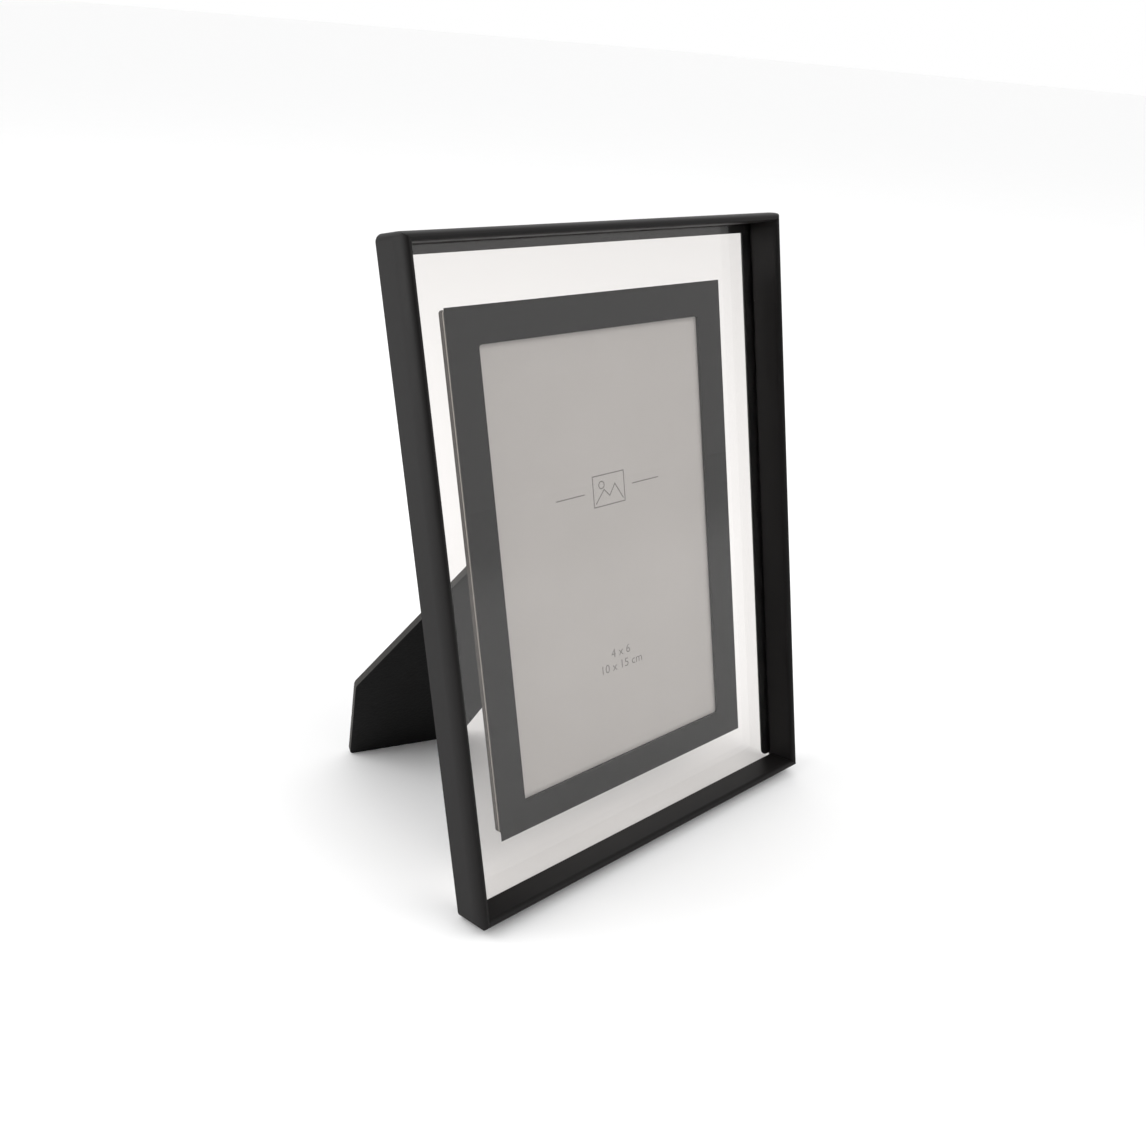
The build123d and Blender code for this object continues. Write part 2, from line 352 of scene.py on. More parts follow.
@dataclass(frozen=True)
class ClearPane:
    """Clear float glass that lets light straight through and mirrors a little."""

    name: str = "clear pane"
    tint: Colour = (0.893, 0.881, 0.872)
    head_on: float = 0.038
    grazing_power: float = 5.0
    smudges: float = 35.0
    smudge_rough: float = 0.004

    def build(self) -> bpy.types.Material:
        """Make the material.

        Returns:
            The material.
        """
        graph = Graph(self.name)
        smudge = graph.noise(graph.coords(), self.smudges, 5.0, 0.6)
        rough = smudge.ramp(0.35, 0.75, 0.0, self.smudge_rough)
        clear = graph.node("ShaderNodeBsdfTransparent", {}, {"Color": self.tint})
        mirror = {"Color": (1.0, 1.0, 1.0), "Roughness": rough}
        gloss = graph.node("ShaderNodeBsdfGlossy", {}, mirror)
        weight = graph.node("ShaderNodeLayerWeight", {}, {"Blend": 0.5})
        grazing = Value(graph, weight.outputs["Facing"])
        mirrored = self.head_on + (1.0 - self.head_on) * grazing.power(self.grazing_power)
        shares = {0: mirrored, 1: clear.outputs[0], 2: gloss.outputs[0]}
        return graph.close(graph.node("ShaderNodeMixShader", {}, shares).outputs[0])


@dataclass(frozen=True)
class PrintedInk:
    """Even black print laid on the pane's back."""

    name: str = "printed ink"
    deep: Colour = (0.006, 0.006, 0.0063)
    pale: Colour = (0.009, 0.009, 0.0093)
    roughness: float = 0.42
    gloss: float = 0.08
    clouds: float = 45.0
    screens: float = 3800.0

    def build(self) -> bpy.types.Material:
        """Make the material.

        Returns:
            The material.
        """
        graph = Graph(self.name)
        where = graph.coords()
        cloud = graph.noise(where, self.clouds, 4.0)
        screen = graph.noise(where, self.screens, 1.0)
        tint = graph.mixed(self.deep, self.pale, cloud * 0.7 + screen * 0.3)
        rough = self.roughness + (screen - 0.5) * 0.04
        return graph.surface(
            Base_Color=tint, Roughness=rough, IOR=1.5, Specular_IOR_Level=self.gloss
        )


@dataclass(frozen=True)
class Paper:
    """Coated paper with soft clouding and short fibres."""

    name: str
    base: Colour
    shade: Colour
    roughness: float = 0.62
    clouds: float = 28.0
    fibres: float = 1900.0
    fibre_stretch: tuple[float, float, float] = (1.0, 1.0, 0.35)
    fibre_depth: float = 0.03 * MM
    fibre_strength: float = 0.4

    def build(self) -> bpy.types.Material:
        """Make the material.

        Returns:
            The material.
        """
        graph = Graph(self.name)
        cloud = graph.noise(graph.coords(), self.clouds, 5.0, 0.6)
        fibre = graph.noise(graph.coords(self.fibre_stretch), self.fibres, 3.0, 0.6)
        tint = graph.mixed(self.shade, self.base, cloud.ramp(0.3, 0.7) * 0.7 + fibre * 0.3)
        return graph.surface(
            Base_Color=tint,
            Roughness=self.roughness + (fibre - 0.5) * 0.1,
            IOR=1.45,
            Normal=graph.bump(fibre, self.fibre_depth, self.fibre_strength),
        )


@dataclass(frozen=True)
class FacedBoard:
    """Fibreboard under black leather-grained paper."""

    name: str = "faced board"
    deep: Colour = (0.0016, 0.0016, 0.0017)
    pale: Colour = (0.0042, 0.0041, 0.0041)
    roughness: float = 0.50
    gloss: float = 0.18
    clouds: float = 70.0
    pebbles: float = 900.0
    pebble_depth: float = 0.12 * MM
    pebble_strength: float = 0.45

    def build(self) -> bpy.types.Material:
        """Make the material.

        Returns:
            The material.
        """
        graph = Graph(self.name)
        where = graph.coords()
        pebble = graph.cells(where, self.pebbles)
        cloud = graph.noise(where, self.clouds, 4.0)
        tint = graph.mixed(self.deep, self.pale, cloud * 0.6 + pebble * 0.4)
        return graph.surface(
            Base_Color=tint,
            Roughness=self.roughness + (cloud - 0.5) * 0.14,
            IOR=1.4,
            Specular_IOR_Level=self.gloss,
            Normal=graph.bump(pebble, self.pebble_depth, self.pebble_strength),
        )


@dataclass(frozen=True)
class CutEdge:
    """The cut edge of pressed board: thin layers of fibre in grey and brown."""

    name: str
    dark: Colour
    light: Colour
    lining: Colour = (0.0, 0.0, 0.0)
    plane: "Place | None" = None
    lining_from: float = 0.0
    lining_to: float = 0.0
    lining_wander: float = 0.2 * MM
    roughness: float = 0.86
    layer_stretch: tuple[float, float, float] = (0.25, 1.0, 0.25)
    layers: float = 3000.0
    chips: float = 520.0
    layer_depth: float = 0.1 * MM
    layer_strength: float = 0.6

    def build(self) -> bpy.types.Material:
        """Make the material.

        Returns:
            The material.
        """
        graph = Graph(self.name)
        layer = graph.noise(graph.coords(self.layer_stretch), self.layers, 3.0, 0.7)
        chip = graph.noise(graph.coords(), self.chips, 4.0, 0.65)
        tint = graph.mixed(self.dark, self.light, layer.ramp(0.3, 0.7) * 0.65 + chip * 0.35)
        if self.plane is not None:
            height = graph.height_off(self.plane) + (chip - 0.5) * self.lining_wander
            band = height.above(self.lining_from) - height.above(self.lining_to)
            tint = graph.mixed(tint, self.lining, band)
        relief = graph.bump(layer + chip, self.layer_depth, self.layer_strength)
        return graph.surface(Base_Color=tint, Roughness=self.roughness, IOR=1.4, Normal=relief)


@dataclass(frozen=True)
class ZincSheet:
    """Zinc plated steel, lightly scuffed."""

    name: str = "zinc sheet"
    deep: Colour = (0.42, 0.43, 0.44)
    pale: Colour = (0.66, 0.67, 0.68)
    roughness: float = 0.30
    brush_stretch: tuple[float, float, float] = (1.0, 0.12, 0.12)
    brushing: float = 2400.0
    clouds: float = 240.0
    brush_depth: float = 0.02 * MM
    brush_strength: float = 0.5

    def build(self) -> bpy.types.Material:
        """Make the material.

        Returns:
            The material.
        """
        graph = Graph(self.name)
        brushed = graph.noise(graph.coords(self.brush_stretch), self.brushing, 3.0, 0.6)
        cloud = graph.noise(graph.coords(), self.clouds, 4.0)
        tint = graph.mixed(self.deep, self.pale, cloud * 0.6 + brushed * 0.4)
        return graph.surface(
            Base_Color=tint,
            Metallic=1.0,
            Roughness=self.roughness + (cloud - 0.5) * 0.2 + (brushed - 0.5) * 0.08,
            Normal=graph.bump(brushed, self.brush_depth, self.brush_strength),
        )


@dataclass(frozen=True)
class Tabletop:
    """Plain pale tabletop that runs out of sight."""

    name: str = "tabletop"
    base: Colour = (0.97, 0.97, 0.97)
    shade: Colour = (0.95, 0.95, 0.95)
    roughness: float = 0.75
    gloss: float = 0.2
    clouds: float = 14.0

    def build(self) -> bpy.types.Material:
        """Make the material.

        Returns:
            The material.
        """
        graph = Graph(self.name)
        tint = graph.mixed(self.shade, self.base, graph.noise(graph.coords(), self.clouds, 4.0))
        return graph.surface(
            Base_Color=tint, Roughness=self.roughness, IOR=1.4, Specular_IOR_Level=self.gloss
        )


# ------------------------------------------------------------------ workbench
@dataclass(frozen=True)
class Place:
    """A flat working plane in the room: an origin and three axes square to each other."""

    origin: Vector
    x: Vector
    y: Vector
    z: Vector

    def at(self, x: float, y: float, z: float) -> Vector:
        """Return the room position of a point of this plane.

        Args:
            x: Distance along the x axis.
            y: Distance along the y axis.
            z: Height off the plane.

        Returns:
            The position.
        """
        return self.origin + self.x * x + self.y * y + self.z * z

    def offset(self, height: float) -> "Place":
        """Return the same plane raised along its own z axis.

        Args:
            height: The rise.

        Returns:
            The raised plane.
        """
        return Place(self.at(0.0, 0.0, height), self.x, self.y, self.z)


class Axis(Enum):
    """Direction of a round bar."""

    X = (0.0, math.pi / 2, 0.0)
    Y = (math.pi / 2, 0.0, 0.0)
    Z = (0.0, 0.0, 0.0)


class Bench:
    """Hand operations on one mesh at a time."""

    letter_flats: int = 4
    saw_slack: float = 1e-7
    flat_bend: float = 0.5

    @staticmethod
    def only(obj: bpy.types.Object) -> None:
        """Select obj alone and make it active.

        Args:
            obj: The piece to work on.
        """
        bpy.ops.object.select_all(action="DESELECT")
        obj.select_set(True)
        bpy.context.view_layer.objects.active = obj

    @classmethod
    def settle(cls, obj: bpy.types.Object) -> None:
        """Write the piece's place into its vertices.

        Args:
            obj: The piece.
        """
        cls.only(obj)
        bpy.ops.object.transform_apply(location=True, rotation=True, scale=True)

    @classmethod
    def block(cls, name: str, low: Sequence[float], high: Sequence[float]) -> bpy.types.Object:
        """Make a square block.

        Args:
            name: The piece's name.
            low: Its lowest corner.
            high: Its highest corner.

        Returns:
            The block.
        """
        size = [b - a for a, b in zip(low, high)]
        middle = [(a + b) / 2 for a, b in zip(low, high)]
        bpy.ops.mesh.primitive_cube_add(size=1.0, location=middle, scale=size)
        made = bpy.context.object
        made.name = name
        made.data.name = name
        cls.settle(made)
        return made

    @classmethod
    def bar(
        cls,
        name: str,
        radius: float,
        length: float,
        middle: Sequence[float],
        axis: Axis = Axis.Z,
        sides: int = 48,
    ) -> bpy.types.Object:
        """Make a round bar.

        Args:
            name: The piece's name.
            radius: Its radius.
            length: Its length.
            middle: Its middle point.
            axis: The way it points.
            sides: Number of flats round it.

        Returns:
            The bar.
        """
        bpy.ops.mesh.primitive_cylinder_add(
            vertices=sides, radius=radius, depth=length, location=middle, rotation=axis.value
        )
        made = bpy.context.object
        made.name = name
        made.data.name = name
        cls.settle(made)
        return made

    @classmethod
    def lettering(
        cls, text: str, height: float, thick: float, middle: Sequence[float]
    ) -> bpy.types.Object:
        """Make a line of plain lettering that lies flat.

        Args:
            text: What it says.
            height: Size of the type.
            thick: Thickness of the ink.
            middle: The middle of the line's foot.

        Returns:
            The lettering.
        """
        bpy.ops.object.select_all(action="DESELECT")
        bpy.ops.object.text_add(location=middle)
        made = bpy.context.object
        made.data.body = text
        made.data.size = height
        made.data.align_x = "CENTER"
        made.data.extrude = thick / 2
        made.data.resolution_u = cls.letter_flats
        bpy.ops.object.convert(target="MESH")
        made = bpy.context.object
        cls.only(made)
        bpy.ops.object.mode_set(mode="EDIT")
        bpy.ops.mesh.select_all(action="SELECT")
        bpy.ops.mesh.remove_doubles(threshold=HAIR)
        bpy.ops.mesh.normals_make_consistent(inside=False)
        bpy.ops.object.mode_set(mode="OBJECT")
        cls.settle(made)
        return made

    @classmethod
    def pick_edges(cls, obj: bpy.types.Object, test: Callable[[Vector, Vector], bool]) -> None:
        """Enter edit mode with only the wanted edges picked.

        Args:
            obj: The piece.
            test: Says from an edge's two ends whether it is wanted.
        """
        cls.only(obj)
        bpy.ops.object.mode_set(mode="EDIT")
        bpy.ops.mesh.select_mode(type="EDGE")
        bpy.ops.mesh.select_all(action="DESELECT")
        bpy.ops.object.mode_set(mode="OBJECT")
        verts = obj.data.vertices
        for edge in obj.data.edges:
            edge.select = test(verts[edge.vertices[0]].co, verts[edge.vertices[1]].co)
        bpy.ops.object.mode_set(mode="EDIT")

    @classmethod
    def round_edges(
        cls,
        obj: bpy.types.Object,
        test: Callable[[Vector, Vector], bool],
        radius: float,
        segments: int,
    ) -> None:
        """Round the wanted edges.

        Args:
            obj: The piece.
            test: Says from an edge's two ends whether it is wanted.
            radius: The rounding's radius.
            segments: Number of flats in the rounding.
        """
        cls.pick_edges(obj, test)
        bpy.ops.mesh.bevel(
            offset=radius, offset_type="OFFSET", segments=segments, profile=0.5, affect="EDGES"
        )
        bpy.ops.object.mode_set(mode="OBJECT")

    @classmethod
    def stretch(
        cls, obj: bpy.types.Object, factors: Sequence[float], about: Sequence[float]
    ) -> None:
        """Stretch the whole mesh about a point.

        Args:
            obj: The piece.
            factors: Stretch along X, Y and Z.
            about: The point that stays.
        """
        cls.only(obj)
        bpy.ops.object.mode_set(mode="EDIT")
        bpy.ops.mesh.select_all(action="SELECT")
        bpy.ops.transform.resize(value=factors, center_override=about)
        bpy.ops.object.mode_set(mode="OBJECT")

    @classmethod
    def slice(cls, obj: bpy.types.Object, point: Sequence[float], outward: Sequence[float]) -> None:
        """Saw off what lies on the outward side of a plane and close the cut.

        Args:
            obj: The piece.
            point: A point on the cut.
            outward: The direction of the waste.
        """
        cls.only(obj)
        bpy.ops.object.mode_set(mode="EDIT")
        bpy.ops.mesh.select_all(action="SELECT")
        bpy.ops.mesh.bisect(
            plane_co=point,
            plane_no=outward,
            use_fill=True,
            clear_outer=True,
            threshold=cls.saw_slack,
        )
        bpy.ops.object.mode_set(mode="OBJECT")

    @classmethod
    def carve(cls, obj: bpy.types.Object, cutter: bpy.types.Object, join: bool = False) -> None:
        """Cut a shape out of the piece, or join it on, and throw the tool away.

        Args:
            obj: The piece.
            cutter: The shape to cut with.
            join: True to add the shape instead.
        """
        cls.only(obj)
        step = obj.modifiers.new("carve", "BOOLEAN")
        step.operation = "UNION" if join else "DIFFERENCE"
        step.solver = "EXACT"
        step.object = cutter
        bpy.ops.object.modifier_apply(modifier=step.name)
        bpy.data.objects.remove(cutter, do_unlink=True)

    @classmethod
    def soften(
        cls, obj: bpy.types.Object, width: float, segments: int = 2, angle: float = 32.0
    ) -> None:
        """Break every sharp edge and smooth the rest.

        Args:
            obj: The piece.
            width: Width of the broken edge.
            segments: Flats across it.
            angle: Sharpest bend, in degrees, that is left alone.
        """
        cls.only(obj)
        bpy.ops.object.mode_set(mode="EDIT")
        bpy.ops.mesh.select_all(action="SELECT")
        bpy.ops.mesh.remove_doubles(threshold=HAIR)
        bpy.ops.mesh.dissolve_limited(angle_limit=math.radians(cls.flat_bend))
        bpy.ops.mesh.normals_make_consistent(inside=False)
        bpy.ops.object.mode_set(mode="OBJECT")
        step = obj.modifiers.new("soften", "BEVEL")
        step.width = width
        step.segments = segments
        step.limit_method = "ANGLE"
        step.angle_limit = math.radians(angle)
        step.use_clamp_overlap = True
        bpy.ops.object.modifier_apply(modifier=step.name)
        bpy.ops.object.shade_smooth_by_angle(angle=math.radians(angle))
        step = obj.modifiers.new("even light", "WEIGHTED_NORMAL")
        step.keep_sharp = True
        bpy.ops.object.modifier_apply(modifier=step.name)

    @classmethod
    def put(cls, obj: bpy.types.Object, place: Place) -> None:
        """Carry a piece made on the bench to its place.

        Args:
            obj: The piece, made about the room's origin.
            place: Where its own axes belong.
        """
        matrix = obj.matrix_world.to_3x3().to_4x4()
        for column, axis in enumerate((place.x, place.y, place.z, place.origin)):
            for row in range(3):
                matrix[row][column] = axis[row]
        obj.matrix_world = matrix
        bpy.context.view_layer.update()
        cls.settle(obj)

    @classmethod
    def merge(cls, name: str, pieces: Iterable[bpy.types.Object]) -> bpy.types.Object:
        """Join several pieces into one object.

        Args:
            name: The joined piece's name.
            pieces: The pieces.

        Returns:
            The joined piece.
        """
        held = list(pieces)
        cls.only(held[0])
        for piece in held:
            piece.select_set(True)
        bpy.ops.object.join()
        held[0].name = name
        held[0].data.name = name
        return held[0]

    @staticmethod
    def dress(obj: bpy.types.Object, material: bpy.types.Material) -> None:
        """Give a piece one finish.

        Args:
            obj: The piece.
            material: The finish.
        """
        obj.data.materials.clear()
        obj.data.materials.append(material)

    @staticmethod
    def dress_sides(
        obj: bpy.types.Object, side: bpy.types.Material, normal: Vector, limit: float = 0.5
    ) -> None:
        """Give the faces square to a direction a second finish.

        Args:
            obj: The piece, already dressed.
            side: The finish of its cut edges.
            normal: The direction its broad faces look in.
            limit: Largest share of normal that a cut edge may have.
        """
        obj.data.materials.append(side)
        for face in obj.data.polygons:
            if abs(face.normal.dot(normal)) < limit:
                face.material_index = 1


# ------------------------------------------------------------------ stance
@dataclass(frozen=True)
class Stance:
    """Where the leaning frame and its opened leg stand, read from the part's own record."""

    face: Place
    hinge: Place
    leg: Place

    @staticmethod
    def read(record: dict, body_depth: float, nose_drop: float, axis_off: float) -> "Stance":
        """Work the planes out from the record's mount and leg joint.

        Args:
            record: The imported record.
            body_depth: Depth of the moulding.
            nose_drop: Depth of the rounded nose.
            axis_off: Distance of the hinge pin from the pack's back.

        Returns:
            The stance.
        """
        mount = record["mounts"][0]
        up = -Vector(mount["axis"]).normalized()
        front = Vector((0.0, -up.z, up.y))
        across = Vector((1.0, 0.0, 0.0))
        foot = Vector(mount["pos_m"]) - front * ((body_depth - nose_drop) / 2)
        face = Place(foot, across, up, front)
        joint = next(j for j in record["behaviour"]["joints"] if j["name"] == "leg_hinge")
        along = -Vector(joint["axis"]).normalized()
        back = -front
        down = back.cross(along)
        opened = math.radians(joint["range_deg"][1])
        pin = Vector(joint["pos_m"])
        hinge = Place(pin - back * axis_off, along, down, back)
        leg_down = down * math.cos(opened) + back * math.sin(opened)
        leg_back = back * math.cos(opened) - down * math.sin(opened)
        return Stance(face, hinge, Place(pin, along, leg_down, leg_back))


# ------------------------------------------------------------------ moulding
@dataclass
class Moulding:
    """Four mitred rails with a rounded nose, and the three flat strips behind the pane."""

    stance: Stance
    width: float = 155 * MM
    height: float = 210 * MM
    depth: float = 14 * MM
    wall: float = 3.2 * MM
    nose_inset: float = 1.9 * MM
    outer_drop: float = 6 * MM
    inner_drop: float = 2 * MM
    rear_wall: float = 1.2 * MM
    seat: float = 2.6 * MM
    corner_radius: float = 2.5 * MM
    corner_cuts: tuple[float, ...] = (5.6, 16.9, 28.1, 39.4)
    broken_edge: float = 0.13 * MM
    nose_flats: int = 12
    lip_flats: int = 8
    lip_share: float = 0.99
    strip_thick: float = 0.6 * MM
    strip_reach: float = 2.85 * MM
    strip_play: float = 0.05 * MM
    strip_gap: float = 0.03 * MM
    strip_foot: float = 2.5 * MM
    strip_foot_radius: float = 3 * MM
    strip_foot_flats: int = 8
    strip_edge: float = 0.08 * MM
    finish: SatinMoulding = SatinMoulding()
    strip_finish: Paper = Paper("strip", (0.032, 0.032, 0.033), (0.022, 0.022, 0.0225), 0.5)

    def nose_edge(self, x: float) -> Callable[[Vector, Vector], bool]:
        """Return a test for the long front edge at a given distance in from the outside.

        Args:
            x: The distance.

        Returns:
            The test.
        """
        return lambda a, b: all(
            abs(end.x - x) < HAIR and abs(end.z - self.depth) < HAIR for end in (a, b)
        )

    def rail(self, name: str, run: float, place: Place, finish: bpy.types.Material) -> None:
        """Make one rail.

        Args:
            name: Its CAD node.
            run: Its outer length.
            place: x inwards, y along it, z to the front, from the middle of its outer back edge.
            finish: Its finish.
        """
        rail = Bench.block(f"{name}_shaped", (0, -run / 2, 0), (self.wall, run / 2, self.depth))
        front = (0, 0, self.depth)
        squash = self.nose_inset / self.outer_drop
        Bench.stretch(rail, (1, 1, squash), front)
        Bench.round_edges(rail, self.nose_edge(0.0), self.nose_inset, self.nose_flats)
        Bench.stretch(rail, (1, 1, 1 / squash), front)
        lip = self.wall - self.nose_inset
        squash = lip / self.inner_drop
        Bench.stretch(rail, (1, 1, squash), front)
        Bench.round_edges(rail, self.nose_edge(self.wall), lip * self.lip_share, self.lip_flats)
        Bench.stretch(rail, (1, 1, 1 / squash), front)
        rebate = Bench.block("rebate", (self.rear_wall, -run, -MM), (2 * self.wall, run, self.seat))
        Bench.carve(rail, rebate)
        for end in (-1, 1):
            Bench.slice(rail, (0, end * run / 2, 0), (1, end, 0))
            for degrees in self.corner_cuts:
                turn = math.radians(degrees)
                out = Vector((-math.cos(turn), end * math.sin(turn), 0))
                centre = Vector((self.corner_radius, end * (run / 2 - self.corner_radius), 0))
                Bench.slice(rail, centre + out * self.corner_radius, out)
        Bench.soften(rail, self.broken_edge)
        Bench.put(rail, place)
        Bench.dress(rail, finish)
        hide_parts(name)
        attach(rail, "frame")

    def strip(
        self,
        name: str,
        low: Sequence[float],
        high: Sequence[float],
        round_at: float | None,
        finish: bpy.types.Material,
    ) -> None:
        """Make one flat strip behind the pane.

        Args:
            name: Its CAD node.
            low: Its lowest corner in the frame's own axes.
            high: Its highest corner.
            round_at: The x of the lower corner that is rounded, or None.
            finish: Its finish.
        """
        strip = Bench.block(f"{name}_shaped", low, high)
        if round_at is not None:
            Bench.round_edges(
                strip,
                lambda a, b: all(
                    abs(end.x - round_at) < HAIR and abs(end.y - low[1]) < HAIR for end in (a, b)
                ),
                self.strip_foot_radius,
                self.strip_foot_flats,
            )
        Bench.soften(strip, self.strip_edge)
        Bench.put(strip, self.stance.face)
        Bench.dress(strip, finish)
        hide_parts(name)
        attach(strip, "frame")

    def build(self) -> None:
        """Make the rails and strips."""
        finish = self.finish.build()
        face = self.stance.face
        half_w, half_h = self.width / 2, self.height / 2
        sides = {
            "bottom_rail": (face.at(0, 0, 0), face.y, self.width),
            "top_rail": (face.at(0, self.height, 0), -face.y, self.width),
            "left_rail": (face.at(-half_w, half_h, 0), face.x, self.height),
            "right_rail": (face.at(half_w, half_h, 0), -face.x, self.height),
        }
        for name, (start, inward, run) in sides.items():
            along = face.z.cross(inward)
            self.rail(name, run, Place(start, inward, along, face.z), finish)
        dark = self.strip_finish.build()
        wide = half_w - self.rear_wall - self.strip_play
        narrow = half_w - self.wall - self.strip_reach
        high = self.height - self.rear_wall - self.strip_play
        low = self.height - self.wall - self.strip_reach
        thick = self.strip_thick - self.strip_gap
        foot = self.strip_foot
        self.strip("glazing_strip_top", (-wide, low, 0), (wide, high, thick), None, dark)
        self.strip("glazing_strip_left", (-wide, foot, 0), (-narrow, low, thick), -narrow, dark)
        self.strip("glazing_strip_right", (narrow, foot, 0), (wide, low, thick), narrow, dark)
        LOG.info("moulding built")


# ------------------------------------------------------------------ pane and print pack
@dataclass
class PrintPack:
    """The pane, the printed border, and the layers that hold the print behind it."""

    stance: Stance
    pane_size: tuple[float, float] = (152.2 * MM, 207.2 * MM)
    pane_middle: float = 105 * MM
    pane_back: float = 0.6 * MM
    pane_thick: float = 2 * MM
    pane_gap: float = 0.03 * MM
    pane_radius: float = 0.8 * MM
    pane_edge: float = 0.25 * MM
    border_thick: float = 0.1 * MM
    border_gap: float = 0.03 * MM
    border_size: tuple[float, float] = (116.3 * MM, 169.6 * MM)
    border_middle: float = 104.05 * MM
    pack_size: tuple[float, float] = (116 * MM, 166.4 * MM)
    pack_middle: float = 105 * MM
    window_size: tuple[float, float] = (94 * MM, 147.7 * MM)
    print_size: tuple[float, float] = (101.6 * MM, 152.4 * MM)
    print_middle: float = 103.5 * MM
    window_radius: float = 1 * MM
    pack_radius: float = 1 * MM
    corner_flats: int = 8
    lining_thick: float = 0.5 * MM
    aperture_thick: float = 1.2 * MM
    rim_thick: float = 1.9 * MM
    print_thick: float = 0.3 * MM
    pocket_play: float = 0.5 * MM
    board_play: float = 0.3 * MM

    def sheet(
        self,
        name: str,
        size: Sequence[float],
        middle: float,
        back: float,
        thick: float,
        radius: float = 0.0,
    ) -> bpy.types.Object:
        """Make a flat rectangular sheet on the bench.

        Args:
            name: The piece's name.
            size: Width and height.
            middle: Height of its middle up the frame.
            back: Height of its rear face off the frame's back.
            thick: Its thickness.
            radius: Rounding of its four corners.

        Returns:
            The sheet.
        """
        half_w, half_h = size[0] / 2, size[1] / 2
        low, high = (-half_w, middle - half_h, back), (half_w, middle + half_h, back + thick)
        made = Bench.block(name, low, high)
        if radius:
            upright = lambda a, b: abs(a.z - b.z) > thick / 2
            Bench.round_edges(made, upright, radius, self.corner_flats)
        return made

    def window(self, back: float) -> bpy.types.Object:
        """Make the tool that cuts the window.

        Args:
            back: Height of the cut sheet's rear face.

        Returns:
            The tool.
        """
        return self.sheet(
            "window", self.window_size, self.print_middle, back - MM, 4 * MM, self.window_radius
        )

    def place(
        self,
        piece: bpy.types.Object,
        node: str,
        slot: str,
        finish: bpy.types.Material,
        edge: bpy.types.Material | None = None,
    ) -> None:
        """Put a finished layer into the frame.

        Args:
            piece: The layer.
            node: The CAD node that it stands for.
            slot: Its material slot; not used.
            finish: Its finish.
            edge: The finish of its cut edges, if they differ.
        """
        Bench.put(piece, self.stance.face)
        Bench.dress(piece, finish)
        if edge is not None:
            Bench.dress_sides(piece, edge, self.stance.face.z)
        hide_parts(node)
        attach(piece, "frame")

    def build(self) -> None:
        """Make the pane and every layer behind it."""
        face = self.stance.face
        front = self.pane_back - self.border_thick
        middle = front - self.aperture_thick
        rear = middle - self.rim_thick
        self.pane()
        self.border(front)
        black = FacedBoard().build()
        lined = CutEdge(
            "pack edge", (0.008, 0.007, 0.0065), (0.026, 0.023, 0.020), (0.36, 0.33, 0.30),
            face, middle, middle + self.lining_thick,
        ).build()
        plain = CutEdge("rim edge", (0.026, 0.023, 0.020), (0.080, 0.070, 0.062)).build()
        self.aperture(middle, black, lined)
        self.insert(middle)
        self.backing(rear, black, plain)
        LOG.info("print pack built")

    def pane(self) -> None:
        """Make the pane."""
        pane = self.sheet(
            "pane_shaped", self.pane_size, self.pane_middle, self.pane_back,
            self.pane_thick - self.pane_gap, self.pane_radius,
        )
        Bench.soften(pane, self.pane_edge)
        self.place(pane, "glass_pane", "glass", ClearPane().build())

    def border(self, back: float) -> None:
        """Make the printed border.

        Args:
            back: Height of its rear face.
        """
        border = self.sheet(
            "border_shaped", self.border_size, self.border_middle, back,
            self.border_thick - self.border_gap,
        )
        Bench.carve(border, self.window(back))
        Bench.soften(border, 0.01 * MM, 1)
        self.place(border, "printed_border", "border_ink", PrintedInk().build())

    def aperture(self, back: float, black: bpy.types.Material, edge: bpy.types.Material) -> None:
        """Make the aperture board, whose window has black walls.

        Args:
            back: Height of its rear face.
            black: The finish of its broad faces.
            edge: The finish of its cut edges.
        """
        board = self.sheet(
            "aperture_shaped", self.pack_size, self.pack_middle, back, self.aperture_thick,
            self.pack_radius,
        )
        Bench.carve(board, self.window(back))
        Bench.soften(board, 0.08 * MM)
        self.place(board, "aperture_board", "board_dark", black, edge)
        half_w, half_h = (side / 2 + MM for side in self.window_size)
        face = self.stance.face
        middle = face.at(0, self.print_middle, 0)
        for side in board.data.polygons:
            reach = side.center - middle
            if abs(reach.dot(face.x)) < half_w and abs(reach.dot(face.y)) < half_h:
                side.material_index = 0

    def insert(self, front: float) -> None:
        """Make the printed insert.

        Args:
            front: Height of its front face.
        """
        paper = self.sheet(
            "insert_shaped", self.print_size, self.print_middle, front - self.print_thick,
            self.print_thick,
        )
        Bench.soften(paper, 0.03 * MM, 1)
        finish = Paper("insert paper", (0.705, 0.701, 0.696), (0.669, 0.665, 0.659))
        self.place(paper, "photo_insert", "insert_paper", finish.build())
        InsertMark(self.stance, front).build()

    def backing(self, back: float, black: bpy.types.Material, edge: bpy.types.Material) -> None:
        """Make the rim round the print and the board that closes it.

        Args:
            back: Height of their rear faces.
            black: The finish of their broad faces.
            edge: The finish of their cut edges.
        """
        pocket = [side + 2 * self.pocket_play for side in self.print_size]
        board_size = [side - 2 * self.board_play for side in pocket]
        rim = self.sheet(
            "rim_shaped", self.pack_size, self.pack_middle, back, self.rim_thick, self.pack_radius
        )
        Bench.carve(rim, self.sheet("pocket", pocket, self.print_middle, back - MM, 5 * MM))
        Bench.soften(rim, 0.12 * MM)
        self.place(rim, "backing_rim", "board_brown", black, edge)
        board = self.sheet(
            "board_shaped", board_size, self.print_middle, back, self.rim_thick - self.print_thick
        )
        Bench.soften(board, 0.15 * MM)
        self.place(board, "back_board", "board_dark", black, edge)


